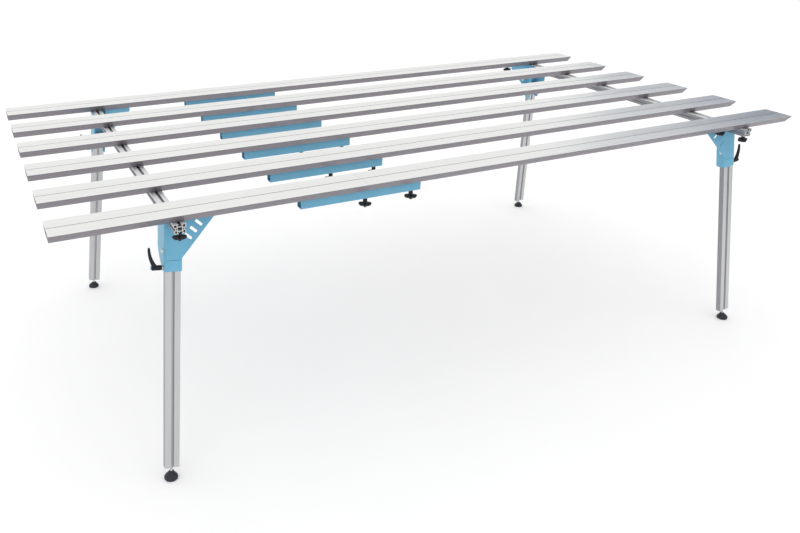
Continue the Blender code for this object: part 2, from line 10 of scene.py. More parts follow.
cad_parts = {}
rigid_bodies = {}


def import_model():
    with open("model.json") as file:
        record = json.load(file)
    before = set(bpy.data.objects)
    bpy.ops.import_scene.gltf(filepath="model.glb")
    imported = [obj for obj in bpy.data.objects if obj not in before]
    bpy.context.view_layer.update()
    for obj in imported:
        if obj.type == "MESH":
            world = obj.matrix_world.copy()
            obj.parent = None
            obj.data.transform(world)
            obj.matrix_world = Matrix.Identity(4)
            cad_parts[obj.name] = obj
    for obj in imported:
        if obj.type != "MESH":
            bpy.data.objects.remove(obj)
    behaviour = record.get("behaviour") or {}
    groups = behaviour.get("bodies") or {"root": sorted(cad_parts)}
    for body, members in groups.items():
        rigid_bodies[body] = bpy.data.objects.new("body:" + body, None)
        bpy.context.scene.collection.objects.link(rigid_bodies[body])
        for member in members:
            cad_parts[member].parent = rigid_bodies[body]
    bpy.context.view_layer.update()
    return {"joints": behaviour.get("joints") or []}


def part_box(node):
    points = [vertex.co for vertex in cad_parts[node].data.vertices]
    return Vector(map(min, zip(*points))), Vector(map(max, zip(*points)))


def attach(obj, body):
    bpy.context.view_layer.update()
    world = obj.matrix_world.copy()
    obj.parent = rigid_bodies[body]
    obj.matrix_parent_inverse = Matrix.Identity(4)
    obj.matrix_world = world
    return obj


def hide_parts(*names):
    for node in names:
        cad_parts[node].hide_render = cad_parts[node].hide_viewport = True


for old in list(bpy.data.objects):
    bpy.data.objects.remove(old, do_unlink=True)
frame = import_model()
joints = {j["name"]: j for j in frame["joints"]}

# Measures of the CAD source that the finer pieces repeat, in metres
RAILS = 6
RAIL_W, RAIL_FOOT_W, RAIL_H, RAIL_WALL = 0.113, 0.069, 0.026, 0.0025
RAIL_LIP, RAIL_EDGE = 0.0015, 0.00075
LINE_HALF, LINE_FLOOR, LINE_D = 0.002, 0.001, 0.0012
CONN_W, CONN_H, CONN_WALL = 0.030, 0.034, 0.0025
BEAM_TOP_W, BEAM_FOOT_W, BEAM_H, BEAM_LIP = 0.036, 0.031, 0.028, 0.003
BEAM_SLOT_W, BEAM_SLOT_D, FOOT_SLOT_W = 0.008, 0.007, 0.009
LEG_W, LEG_D, LEG_SLOT_W, LEG_SLOT_IN_W = 0.045, 0.0225, 0.0082, 0.0146
LEG_SLOT_LIP, LEG_WALL, LEG_END_Z = 0.0018, 0.0016, 0.040
FOOT_R, STEM_R, STEM_IN = 0.0215, 0.004, 0.045
BOLT_R, BOLT_HEAD_R, BOLT_HEAD_H = 0.003, 0.0068, 0.005
SHEET, RUN, SEAT, NOTCH = 0.003, 0.0005, 0.0003, 0.0004
LEVER_STUD_R, LEVER_HUB_R, LEVER_UP = 0.004, 0.0075, 0.010
KNOB_R, KNOB_HOLLOW_R, KNOB_HEAD, KNOB_STUD_R = 0.020, 0.0096, 0.013, 0.004
CONN_KNOB_NECK, CLAMP_KNOB_NECK = 0.016, 0.010
SLEEVE_DROP, SLEEVE_DEEP, SLEEVE_CORNER, BAND_H, HEEL_H = 0.0585, 0.038, 0.006, 0.033, 0.040
GUSSET_OUT, GUSSET_EDGE = 0.129, 0.012
SLOT_COUNT, SLOT_W, SLOT_LEN, SLOT_STEP, SLOT_IN = 3, 0.008, 0.026, 0.024, 0.024
WING, WING_FROM, WING_RISE = 0.040, 0.012, 0.055
CLAMP_HOLES, FLANGE_TIP, FLANGE_MARGIN = (0.082, 0.136), 0.026, 0.014
SCORE_W = 0.0016
HALF_W, HALF_D = LEG_W / 2 + RUN, LEG_D / 2 + RUN
OUT_W, OUT_D = HALF_W + SHEET, HALF_D + SHEET
MOUTH = -SLEEVE_DROP
CORNERS = ("fl", "fr", "rl", "rr")

NEAR = 0.00001         # closer than this, two measures are the same
SMOOTH_UNDER = 35.0    # degrees; edges flatter than this are shaded smooth


# Mesh helpers
def fillet(points, steps=3):
    """Closed outline from corners (a, b, radius), each rounded."""
    out = []
    for i, (a, b, radius) in enumerate(points):
        p = Vector((a, b))
        if radius <= 0.0:
            out.append((a, b))
            continue
        before = (Vector(points[i - 1][:2]) - p).normalized()
        after = (Vector(points[(i + 1) % len(points)][:2]) - p).normalized()
        half = before.angle(after) / 2
        reach = radius / math.tan(half)
        centre = p + (before + after).normalized() * (radius / math.sin(half))
        start, end = p + before * reach - centre, p + after * reach - centre
        first = math.atan2(start.y, start.x)
        sweep = (math.atan2(end.y, end.x) - first + math.pi) % (2 * math.pi) - math.pi
        for k in range(steps + 1):
            t = first + sweep * k / steps
            out.append((centre.x + radius * math.cos(t), centre.y + radius * math.sin(t)))
    return out


def flipped(corners):
    """Corners mirrored from right to left, in turning order."""
    return [(-a, b, radius) for a, b, radius in reversed(corners)]


def rectangle(a0, a1, b0, b1, radius):
    """Corners of a rectangle, for fillet."""
    return [(a0, b0, radius), (a1, b0, radius), (a1, b1, radius), (a0, b1, radius)]


def circle(radius, count, centre=(0.0, 0.0)):
    return [(centre[0] + radius * math.cos(2 * math.pi * i / count),
             centre[1] + radius * math.sin(2 * math.pi * i / count)) for i in range(count)]


def stadium(length, width, centre, angle):
    """Slot with round ends."""
    run, r, steps = (length - width) / 2, width / 2, 8
    out = []
    for end, first in ((1, -math.pi / 2), (-1, math.pi / 2)):
        for k in range(steps + 1):
            t = first + math.pi * k / steps
            a, b = end * run + r * math.cos(t), r * math.sin(t)
            out.append((centre.x + a * math.cos(angle) - b * math.sin(angle),
                        centre.y + a * math.sin(angle) + b * math.cos(angle)))
    return out


def along_x(a, b, c):
    return Vector((c, a, b))


def along_y(a, b, c):
    return Vector((a, c, b))


def upright(a, b, c):
    return Vector((a, b, c))


def mesh_from(verts, faces, marks, smooth):
    """Mesh with its faces' materials, turned outward and shaded smooth under an angle in degrees."""
    mesh = bpy.data.meshes.new("piece")
    mesh.from_pydata([tuple(v) for v in verts], [], faces)
    mesh.polygons.foreach_set("material_index", marks)
    bm = bmesh.new()
    bm.from_mesh(mesh)
    bmesh.ops.recalc_face_normals(bm, faces=bm.faces)
    bm.to_mesh(mesh)
    bm.free()
    mesh.shade_smooth()
    mesh.set_sharp_from_angle(angle=math.radians(smooth))
    return mesh


def prism(outline, c0, c1, place, holes=(), side_mark=None, cap_mark=0, hole_mark=0):
    """Extruded outline with holes. side_mark gives a face's material from its two corners."""
    loops = [outline] + list(holes)
    flat = [p for loop in loops for p in loop]
    count = len(flat)
    verts = [place(a, b, c) for c in (c0, c1) for a, b in flat]
    caps = tessellate_polygon([[Vector((a, b, 0.0)) for a, b in loop] for loop in loops])
    faces = [tuple(t) for t in caps] + [tuple(i + count for i in reversed(t)) for t in caps]
    marks = [cap_mark] * len(faces)
    start = 0
    for k, loop in enumerate(loops):
        size = len(loop)
        for i in range(size):
            a, b = start + i, start + (i + 1) % size
            faces.append((a, b, b + count, a + count))
            marks.append(hole_mark if k else side_mark(flat[a], flat[b]) if side_mark else 0)
        start += size
    return mesh_from(verts, faces, marks, SMOOTH_UNDER)


def loft(rings, marks=None, smooth=SMOOTH_UNDER):
    """Skinned rings of equal count, closed at both ends. marks gives the material from each ring on."""
    n = len(rings[0])
    marks = marks or [0] * len(rings)
    verts = [p for ring in rings for p in ring]
    faces, face_marks = [], []
    for k in range(len(rings) - 1):
        for i in range(n):
            j = (i + 1) % n
            faces.append((k * n + i, k * n + j, (k + 1) * n + j, (k + 1) * n + i))
            face_marks.append(marks[k])
    for end in (0, len(rings) - 1):
        centre = len(verts)
        verts.append(sum((Vector(p) for p in rings[end]), Vector()) / n)
        for i in range(n):
            faces.append((end * n + i, end * n + (i + 1) % n, centre))
            face_marks.append(marks[end])
    return mesh_from(verts, faces, face_marks, smooth)


def cut(mesh, tool, operation):
    """Boolean of two meshes in the same frame."""
    a, b = bpy.data.objects.new("a", mesh), bpy.data.objects.new("b", tool)
    for o in (a, b):
        bpy.context.scene.collection.objects.link(o)
    mod = a.modifiers.new("cut", "BOOLEAN")
    mod.operation, mod.object, mod.solver = operation, b, "EXACT"
    made = bpy.data.meshes.new_from_object(a.evaluated_get(bpy.context.evaluated_depsgraph_get()))
    for o in (a, b):
        bpy.data.objects.remove(o, do_unlink=True)
    made.shade_smooth()
    made.set_sharp_from_angle(angle=math.radians(SMOOTH_UNDER))
    return made


def top_middle(low, high):
    """Place at the middle of a node's top."""
    return Matrix.Translation(((low.x + high.x) / 2, (low.y + high.y) / 2, high.z))


def add(name, mesh, body, materials, matrix, node):
    """Put a piece in place, on its body, standing for its node if it has one."""
    obj = bpy.data.objects.new(name, mesh)
    bpy.context.scene.collection.objects.link(obj)
    mesh.name = name
    for m in materials:
        mesh.materials.append(m)
    obj.matrix_world = matrix
    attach(obj, body)
    if node:
        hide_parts(node)
    return obj


# Materials
X, Y, Z = range(3)
WHITE = (1.0, 1.0, 1.0)
NOISE_FROM, NOISE_TO = 0.3, 0.7       # noise lies mostly between these
VARY_BY = 40.0                        # how far apart two pieces' patterns may lie
MIX_A, MIX_B, MIX_RESULT = 6, 7, 2    # a mix node's colour sockets


class Nodes:
    """Short writer for one material's node tree."""

    def __init__(self, name):
        self.mat = bpy.data.materials.new(name)
        self.mat.use_nodes = True
        self.tree = self.mat.node_tree
        self.shader = self.tree.nodes["Principled BSDF"]
        self.place = self.tree.nodes.new("ShaderNodeTexCoord").outputs["Object"]

    def link(self, a, b):
        self.tree.links.new(a, b)

    def noise(self, scale, stretch=(1.0, 1.0, 1.0), detail=3.0, rough=0.55, vary=True):
        """Noise over object coordinates. A stretch under 1 draws it out along that axis."""
        mapping = self.tree.nodes.new("ShaderNodeMapping")
        mapping.inputs["Scale"].default_value = stretch
        self.link(self.place, mapping.inputs["Vector"])
        if vary:
            info = self.tree.nodes.new("ShaderNodeObjectInfo")
            offset = self.tree.nodes.new("ShaderNodeMath")
            offset.operation = "MULTIPLY"
            offset.inputs[1].default_value = VARY_BY
            self.link(info.outputs["Random"], offset.inputs[0])
            self.link(offset.outputs[0], mapping.inputs["Location"])
        tex = self.tree.nodes.new("ShaderNodeTexNoise")
        tex.inputs["Scale"].default_value = scale
        tex.inputs["Detail"].default_value = detail
        tex.inputs["Roughness"].default_value = rough
        self.link(mapping.outputs["Vector"], tex.inputs["Vector"])
        return tex.outputs["Fac"]

    def spread(self, value, low, high, start=NOISE_FROM, end=NOISE_TO):
        """Number that goes from low to high as value goes from start to end."""
        node = self.tree.nodes.new("ShaderNodeMapRange")
        for key, number in (("From Min", start), ("From Max", end), ("To Min", low), ("To Max", high)):
            node.inputs[key].default_value = number
        self.link(value, node.inputs["Value"])
        return node.outputs["Result"]

    def tint(self, value, dark, light, start=NOISE_FROM, end=NOISE_TO):
        """Colour that goes from dark to light as value goes from start to end."""
        ramp = self.tree.nodes.new("ShaderNodeValToRGB")
        for element, place, colour in zip(ramp.color_ramp.elements, (start, end), (dark, light)):
            element.position, element.color = place, (*colour, 1.0)
        self.link(value, ramp.inputs["Fac"])
        return ramp.outputs["Color"]

    def multiply(self, a, b):
        node = self.tree.nodes.new("ShaderNodeMix")
        node.data_type, node.blend_type = "RGBA", "MULTIPLY"
        node.inputs["Factor"].default_value = 1.0
        self.link(a, node.inputs[MIX_A])
        self.link(b, node.inputs[MIX_B])
        return node.outputs[MIX_RESULT]

    def bump(self, height, strength, distance):
        node = self.tree.nodes.new("ShaderNodeBump")
        node.inputs["Strength"].default_value = strength
        node.inputs["Distance"].default_value = distance
        self.link(height, node.inputs["Height"])
        return node.outputs["Normal"]

    def done(self, colour, rough, normal, metallic=0.0, **sockets):
        """Link what varies to the shader, and set what is the same all over on its sockets."""
        self.link(colour, self.shader.inputs["Base Color"])
        self.link(rough, self.shader.inputs["Roughness"])
        self.link(normal, self.shader.inputs["Normal"])
        self.shader.inputs["Metallic"].default_value = metallic
        for key, value in sockets.items():
            self.shader.inputs[key.replace("_", " ")].default_value = value
        return self.mat


def scaled(colour, share):
    return tuple(c * share for c in colour)


def drawn_out(along, share):
    """Stretch along one axis."""
    return tuple(share if i == along else 1.0 for i in range(3))


def aluminium(name, colour, rough, along, depth=0.5, contrast=0.07, metallic=1.0):
    """Extruded aluminium: die lines and a soft cloud along one axis."""
    k = Nodes(name)
    lines = k.noise(900.0, drawn_out(along, 0.004), detail=4.0, rough=0.65)
    cloud = k.noise(14.0, drawn_out(along, 0.12), detail=2.0)
    line_tint = k.tint(lines, scaled(colour, 1.0 - contrast), scaled(colour, 1.0 + contrast / 2))
    cloud_tint = k.tint(cloud, scaled(WHITE, 1.0 - contrast / 2), WHITE)
    return k.done(k.multiply(line_tint, cloud_tint), k.spread(lines, rough - contrast, rough + contrast),
                  k.bump(lines, strength=depth, distance=0.00006), metallic, Anisotropic=0.35)


def sawn(name, colour, rough):
    """Sawn end of an extrusion: marks left by the blade."""
    k = Nodes(name)
    marks = k.noise(700.0, drawn_out(Z, 0.05), detail=3.0, rough=0.6)
    return k.done(k.tint(marks, scaled(colour, 0.86), scaled(colour, 1.06)),
                  k.spread(marks, rough, rough + 0.14),
                  k.bump(marks, strength=0.4, distance=0.00008), metallic=1.0)


def powder(name, colour, rough):
    """Powder coat: orange peel, a faint cloud and fine specks."""
    k = Nodes(name)
    peel = k.noise(420.0, detail=1.5)
    cloud = k.noise(11.0, detail=3.0)
    speck = k.noise(2600.0, detail=1.0)
    base = k.tint(cloud, scaled(colour, 0.93), scaled(colour, 1.06))
    dust = k.tint(speck, scaled(WHITE, 0.95), WHITE, start=0.35, end=0.6)
    return k.done(k.multiply(base, dust), k.spread(cloud, rough - 0.04, rough + 0.07),
                  k.bump(peel, strength=0.16, distance=0.0003), Specular_IOR_Level=0.5)


def moulded(name, colour, rough):
    """Injection-moulded plastic: spark-eroded grain and slightly polished high spots."""
    k = Nodes(name)
    grain = k.noise(1500.0, detail=2.0)
    rub = k.noise(55.0, detail=3.0)
    return k.done(k.tint(rub, scaled(colour, 0.8), scaled(colour, 1.35)),
                  k.spread(rub, rough - 0.08, rough + 0.08),
                  k.bump(grain, strength=0.25, distance=0.00025), Specular_IOR_Level=0.3)


def plated(name, colour, rough):
    """Zinc-plated steel with fine turning marks and faint clouding."""
    k = Nodes(name)
    marks = k.noise(1800.0, drawn_out(Z, 0.15), detail=2.0)
    cloud = k.noise(160.0, detail=3.0)
    return k.done(k.tint(cloud, scaled(colour, 0.86), scaled(colour, 1.04)),
                  k.spread(marks, rough, rough + 0.14),
                  k.bump(marks, strength=0.3, distance=0.00008), metallic=1.0)


RAIL_TOP = aluminium("rail_top", (0.825, 0.83, 0.815), rough=0.33, along=X, depth=0.05, contrast=0.02)
# Painted shade: the rails' sides are the top's aluminium darkened, standing for the dark surroundings they
# mirror
SHADED_RAIL_SIDE = aluminium("rail_side_painted_shade", (0.255, 0.236, 0.262), rough=0.36, along=X, depth=0.25, contrast=0.08,
                      metallic=0.4)
RAIL_CUT = sawn("rail_cut", (0.62, 0.62, 0.63), rough=0.42)
RAIL_IN = aluminium("rail_inside", (0.42, 0.42, 0.43), rough=0.5, along=X)
# Painted shade in the centre groove: a darker copy of the aluminium for its walls and floor
SHADED_RAIL_LINE = aluminium("rail_line_painted_shade", (0.32, 0.32, 0.35), rough=0.4, along=X)
BEAM = aluminium("beam_face", (0.82, 0.83, 0.84), rough=0.45, along=Y, metallic=0.1)
# Painted shade: the crossbeam's sloping sides get a darker copy of its aluminium
SHADED_BEAM_SIDE = aluminium("beam_side", (0.34, 0.335, 0.36), rough=0.4, along=Y, metallic=0.4)
BEAM_CUT = sawn("beam_cut", (0.68, 0.68, 0.69), rough=0.42)
# Painted shade in the crossbeam's slots and chambers: a darker copy of its aluminium
SHADED_BEAM_SLOT = aluminium("beam_slot_painted_shade", (0.42, 0.42, 0.45), rough=0.5, along=Y, metallic=0.2)
LEG = aluminium("leg_face", (0.578, 0.588, 0.597), rough=0.34, along=Z)
# Painted shade: the leg's narrow edges and its slot get darker copies of its aluminium
SHADED_LEG_EDGE = aluminium("leg_edge_painted_shade", (0.33, 0.33, 0.36), rough=0.28, along=Z)
SHADED_LEG_SLOT = aluminium("leg_slot_painted_shade", (0.45, 0.455, 0.47), rough=0.4, along=Z)
LEG_CUT = sawn("leg_cut", (0.55, 0.55, 0.56), rough=0.45)
BLUE = powder("bracket_blue", (0.172, 0.492, 0.705), rough=0.36)
TUBE_BLUE = powder("connector_blue", (0.158, 0.452, 0.650), rough=0.36)
BLACK = moulded("knob_black", (0.013, 0.013, 0.019), rough=0.45)
LEVER_BLACK = moulded("lever_black", (0.010, 0.010, 0.014), rough=0.42)
FOOT_BLACK = moulded("foot_black", (0.027, 0.030, 0.042), rough=0.42)
STEEL = plated("bright_steel", (0.72, 0.72, 0.71), rough=0.2)
BUTTON = powder("button_blue", (0.10, 0.33, 0.52), rough=0.3)


# Rails
RAIL_MATERIALS = [RAIL_TOP, SHADED_RAIL_SIDE, RAIL_CUT, RAIL_IN, SHADED_RAIL_LINE]
ON_RAIL_TOP, ON_SHADED_RAIL_SIDE, ON_RAIL_CUT, ON_RAIL_IN, ON_SHADED_RAIL_LINE = range(5)
RAIL_FOOT_R, RAIL_EDGE_R, RAIL_LIP_R, RAIL_TOP_R, RAIL_CELL_R = 0.0014, 0.0004, 0.0003, 0.0007, 0.0015
LINE_R, LINE_FLOOR_R = 0.0003, 0.0002
FAINT_AT, FAINT_HALF, FAINT_D = 0.028, 0.0005, 0.00012    # the fine line to each side of the centre line
TOP_TINT_D = 0.0014                                       # the top's colour goes this far down the edge; below it the sides take their painted-shade colour
LINE_TINT_D = LINE_D / 8                                  # the centre line's painted-shade colour starts this far down


def rail_outline():
    right = [(RAIL_FOOT_W / 2, -RAIL_H, RAIL_FOOT_R), (RAIL_W / 2 - RAIL_EDGE, -RAIL_WALL, RAIL_EDGE_R),
             (RAIL_W / 2, -RAIL_LIP, RAIL_LIP_R), (RAIL_W / 2, 0.0, RAIL_TOP_R),
             (FAINT_AT + FAINT_HALF, 0.0, 0.0), (FAINT_AT, -FAINT_D, 0.0), (FAINT_AT - FAINT_HALF, 0.0, 0.0),
             (LINE_HALF, 0.0, LINE_R), (LINE_FLOOR, -LINE_D, LINE_FLOOR_R)]
    return fillet(right + flipped(right))


def rail_cells():
    """Chambers of the rail: one in the middle and one along each side."""
    t, r = RAIL_WALL, RAIL_CELL_R
    top, foot = -t - LINE_D, -RAIL_H + t
    web = RAIL_FOOT_W / 2 - 2 * t
    slope = (RAIL_W - RAIL_FOOT_W) / 2 / RAIL_H
    side_t = t * math.hypot(1.0, slope)

    def side(z):
        return RAIL_FOOT_W / 2 + (z + RAIL_H) * slope - side_t
    outer = [(web + t / 2, foot, r), (side(foot), foot, r), (side(top), top, r), (web + t / 2, top, r)]
    middle = rectangle(-web + t / 2, web - t / 2, foot, top, r)
    return [fillet(middle), fillet(outer), fillet(flipped(outer))]


def rail_mark(a, b):
    """Material of one strip of the rail's outside: the top face, the line in its middle, or a side; the line
    and the sides get colours darkened as painted shade.
    """
    low = min(a[1], b[1])
    if max(abs(a[0]), abs(b[0])) < LINE_HALF + NEAR and low < -LINE_TINT_D:
        return ON_SHADED_RAIL_LINE
    return ON_RAIL_TOP if low > -TOP_TINT_D else ON_SHADED_RAIL_SIDE


for n in range(1, RAILS + 1):
    for part in ("short", "long"):
        node = f"rail_{n}_{part}"
        low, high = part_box(node)
        half = (high.x - low.x) / 2
        mesh = prism(rail_outline(), -half, half, along_x, rail_cells(), rail_mark, ON_RAIL_CUT, ON_RAIL_IN)
        add(f"{node}_dressed", mesh, "frame", RAIL_MATERIALS, top_middle(low, high), node)


# Rail connectors
CONN_R, CONN_BORE_R = 0.0035, 0.0012


def connector_mesh(length):
    w, h, t = CONN_W / 2, CONN_H, CONN_WALL
    outline = fillet(rectangle(-w, w, -h, 0.0, CONN_R), 5)
    bore = fillet(rectangle(-w + t, w - t, -h + t, -t, CONN_BORE_R))
    return prism(outline, -length / 2, length / 2, along_x, [bore])


for n in range(1, RAILS + 1):
    node = f"connector_{n}"
    low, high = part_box(node)
    add(f"{node}_dressed", connector_mesh(high.x - low.x), "frame", [TUBE_BLUE], top_middle(low, high), node)


# Star knobs
KNOB_POINTS, KNOB_LOBES, LOBE_POWER, KNOB_SMOOTH = 72, 4, 1.2, 50.0
CONN_KNOB_TURN, CLAMP_KNOB_TURN = math.radians(-28.0), math.radians(-12.0)    # as the photo shows them
# Boss under the head: up from the head's underside, radius
KNOB_BOSS = ((-0.0012, 0.0022), (-0.0010, 0.0040), (-0.0002, 0.0050), (0.0006, 0.0056))
# Lobed head: up from its underside, share of its full outline
KNOB_RINGS = ((0.0008, 0.56), (0.0012, 0.66), (0.0022, 0.78), (0.0042, 0.90), (0.0064, 0.97), (0.0082, 1.0),
              (0.0104, 0.995), (0.0120, 0.955), (0.0128, 0.89), (0.0130, 0.80))
# Neck: height above its foot and then from its seat, radius
NECK_FOOT = ((0.0002, 0.0078), (0.0012, 0.0070))
NECK_TOP = ((-0.0015, 0.0065), (-0.0003, 0.0063), (0.0, 0.0058))
STUD_CHAMFER_H, STUD_CHAMFER = 0.0004, 0.0006


def knob_mesh(neck, stud):
    """Lobed knob hanging from its seat at the origin, with its steel stud above."""
    def ring(z, radius, wave=0.0):
        out = []
        for i in range(KNOB_POINTS):
            a = 2 * math.pi * i / KNOB_POINTS
            r = radius + wave * (0.5 + 0.5 * math.cos(KNOB_LOBES * a)) ** LOBE_POWER
            out.append(Vector((r * math.cos(a), r * math.sin(a), z)))
        return out

    low = -neck - KNOB_HEAD
    rings = [ring(low + z, r) for z, r in KNOB_BOSS]
    lobe = KNOB_R - KNOB_HOLLOW_R
    rings += [ring(low + z, KNOB_HOLLOW_R * share, lobe * share) for z, share in KNOB_RINGS]
    rings += [ring(-neck + z, r) for z, r in NECK_FOOT] + [ring(z, r) for z, r in NECK_TOP]
    black = [0] * len(rings)
    rings += [ring(0.0, KNOB_STUD_R), ring(stud, KNOB_STUD_R),
              ring(stud + STUD_CHAMFER_H, KNOB_STUD_R - STUD_CHAMFER)]
    steel = [1] * (len(rings) - len(black))
    return loft(rings, black + steel, KNOB_SMOOTH)


for name, joint in joints.items():
    if "knob" in name:
        node = joint["child"]
        low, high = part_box(node)
        on_connector = node.startswith("connector")
        neck = CONN_KNOB_NECK if on_connector else CLAMP_KNOB_NECK
        turn = CONN_KNOB_TURN if on_connector else CLAMP_KNOB_TURN
        seat = Vector(joint["pos_m"])
        seat.z = low.z + neck + KNOB_HEAD
        mesh = knob_mesh(neck, high.z - seat.z - STUD_CHAMFER_H)
        add(f"{node}_dressed", mesh, node, [BLACK, STEEL],
            Matrix.Translation(seat) @ Matrix.Rotation(turn, 4, "Z"), node)


# Crossbeams
BEAM_MATERIALS = [BEAM, BEAM_CUT, SHADED_BEAM_SLOT, SHADED_BEAM_SIDE]
ON_BEAM, ON_BEAM_CUT, ON_SHADED_BEAM_SLOT, ON_SHADED_BEAM_SIDE = range(4)
BEAM_SLOT_WIDE, BEAM_SLOT_LIP = 0.0062, 0.002    # half width behind the slots' lips, and the lips' height
SIDE_SLOT_Z, SIDE_SLOT_D = (-0.0178, -0.0102), 0.0035
SLOT_EDGE_R, BEAM_FOOT_R, BEAM_EDGE_R = 0.0004, 0.0012, 0.0008
BEAM_WEB, BEAM_CELL_R = 0.002, 0.0012
HIGH_CELL_FOOT, MIDDLE_CELL, LOW_CELL_TOP = -0.0095, (-0.0115, -0.0170), -0.0190
BEAM_TINT_D = 0.0009                             # the top's and foot's colour goes this far round an edge; past it the sides and slots take their painted-shade colours


def beam_side(z):
    """Half width of the crossbeam at a height."""
    return BEAM_TOP_W / 2 + (z + BEAM_LIP) * (BEAM_TOP_W - BEAM_FOOT_W) / 2 / (BEAM_H - BEAM_LIP)


def beam_outline():
    w, f, h = BEAM_TOP_W / 2, BEAM_FOOT_W / 2, BEAM_H
    s, d, foot = BEAM_SLOT_W / 2, BEAM_SLOT_D, FOOT_SLOT_W / 2
    wide, lip, e = BEAM_SLOT_WIDE, BEAM_SLOT_LIP, SLOT_EDGE_R
    low, high, deep = *SIDE_SLOT_Z, SIDE_SLOT_D
    right = [(wide, -h + d, 0.0), (wide, -h + lip, 0.0), (foot, -h + lip, 0.0), (foot, -h, e),
             (f, -h, BEAM_FOOT_R), (beam_side(low), low, e), (beam_side(low) - deep, low, 0.0),
             (beam_side(high) - deep, high, 0.0), (beam_side(high), high, e), (w, -BEAM_LIP, BEAM_EDGE_R),
             (w, 0.0, BEAM_EDGE_R), (s, 0.0, e), (s, -lip, 0.0), (wide, -lip, 0.0), (wide, -d, 0.0)]
    return fillet(right + flipped(right))


def beam_cells():
    """Chambers of the extrusion, as its cut end shows them."""
    t, r, wide = BEAM_WEB, BEAM_CELL_R, BEAM_SLOT_WIDE
    slot = wide + t
    cells = [rectangle(-wide, wide, -BEAM_H + BEAM_SLOT_D + t, -BEAM_SLOT_D - t, r)]
    rows = (((-t, HIGH_CELL_FOOT), t), (MIDDLE_CELL, SIDE_SLOT_D + t), ((LOW_CELL_TOP, -BEAM_H + t), t))
    for (high, low), wall in rows:
        cell = [(slot, low, r), (beam_side(low) - wall, low, r),
                (min(beam_side(high), BEAM_TOP_W / 2) - wall, high, r), (slot, high, r)]
        cells += [cell, flipped(cell)]
    return [fillet(cell) for cell in cells]


def beam_mark(a, b):
    """Top and foot faces, walls of a slot, or a side of the crossbeam; slot walls and sides get darker
    colours as painted shade.
    """
    low, high = min(a[1], b[1]), max(a[1], b[1])
    if SIDE_SLOT_Z[0] - NEAR < low and high < SIDE_SLOT_Z[1] + NEAR:
        return ON_SHADED_BEAM_SLOT
    in_slots = max(abs(a[0]), abs(b[0])) < BEAM_SLOT_WIDE + NEAR
    if in_slots and low < -BEAM_TINT_D and high > -BEAM_H + BEAM_TINT_D:
        return ON_SHADED_BEAM_SLOT
    outside = min(abs(a[0]), abs(b[0])) > BEAM_FOOT_W / 2 - BEAM_TINT_D
    return ON_SHADED_BEAM_SIDE if outside and high < -BEAM_TINT_D else ON_BEAM


for side in ("left", "right"):
    node = f"crossbeam_{side}"
    low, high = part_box(node)
    half = (high.y - low.y) / 2
    # The chambers take the slots' painted-shade colour
    mesh = prism(beam_outline(), -half, half, along_y, beam_cells(), beam_mark, ON_BEAM_CUT, ON_SHADED_BEAM_SLOT)
    add(f"{node}_dressed", mesh, "frame", BEAM_MATERIALS, top_middle(low, high), node)


# Corner frames from the record: u runs across the leg's wide face to the table's middle, v inward and
# w up the leg
def corner(tag):
    """Matrix of a corner's axes at the leg's pivot, and whether the corner is a mirror image."""
    pivot = Vector(joints[f"leg_{tag}_fold"]["pos_m"])
    w = -Vector(joints[f"foot_{tag}_screw"]["axis"]).normalized()
    u = -Vector(joints[f"clamp_lever_{tag}_turn"]["axis"]).normalized()
    v = w.cross(u)
    mirrored = v.y * pivot.y > 0
    if mirrored:
        v = -v
    x = -u if mirrored else u
    matrix = Matrix.Translation(pivot) @ Matrix((x, v, w)).transposed().to_4x4()
    return matrix, mirrored


FRAMES = {tag: corner(tag) for tag in CORNERS}
W_Z = FRAMES["fl"][0].col[2].z
PIVOT_Z = FRAMES["fl"][0].col[3].z
LEG_END = -(PIVOT_Z - LEG_END_Z) / W_Z
FLOOR_AT = -PIVOT_Z / W_Z


def corner_piece(name, tag, template, body, materials, node, level=False):
    """Copy a corner-frame mesh to one corner, mirrored where the corner is.

    With level, the mesh itself is turned to the table's axes and the piece is not.
    """
    matrix, mirrored = FRAMES[tag]
    mesh = template.copy()
    if mirrored:
        mesh.transform(Matrix.Diagonal((-1.0, 1.0, 1.0, 1.0)))
        mesh.flip_normals()
    if level:
        mesh.transform(matrix.to_3x3().to_4x4())
        matrix = Matrix.Translation(matrix.translation)
    return add(name, mesh, body, materials, matrix, node)


# Legs
LEG_MATERIALS = [LEG, SHADED_LEG_EDGE, SHADED_LEG_SLOT, LEG_CUT]
ON_LEG, ON_SHADED_LEG_EDGE, ON_SHADED_LEG_SLOT, ON_LEG_CUT = range(4)
LEG_EDGE_R, LEG_SLOT_R, LEG_CELL_R = 0.0015, 0.0004, 0.001
EDGE_TINT_D, SLOT_TINT_D = 0.0004, 0.0003    # how far the narrow edges' and the faces' colours go round; the edges and slot walls are darkened as painted shade
STEM_POINTS, CROWN_STEPS = 20, 24


def leg_profile():
    w, h, s, wide, e = LEG_W / 2, LEG_D / 2, LEG_SLOT_W / 2, LEG_SLOT_IN_W / 2, LEG_SLOT_R
    deep, lip = -STEM_R - RUN - LEG_WALL, -h + LEG_SLOT_LIP
    face = [(-w, -h, LEG_EDGE_R), (-s, -h, e), (-s, lip, 0.0), (-wide, lip, 0.0), (-s, deep, 0.0),
            (s, deep, 0.0), (wide, lip, 0.0), (s, lip, 0.0), (s, -h, e), (w, -h, LEG_EDGE_R)]
    return fillet(face + [(-a, -b, radius) for a, b, radius in face], 4)


def leg_mark(a, b):
    """Wide faces, narrow edges and slot walls; the edges and slot walls get darker colours as painted shade.
    """
    if min(abs(a[0]), abs(b[0])) > LEG_W / 2 - EDGE_TINT_D:
        return ON_SHADED_LEG_EDGE
    in_slot = max(abs(a[0]), abs(b[0])) < LEG_SLOT_IN_W / 2 + NEAR
    return ON_SHADED_LEG_SLOT if in_slot and min(abs(a[1]), abs(b[1])) < LEG_D / 2 - SLOT_TINT_D else ON_LEG


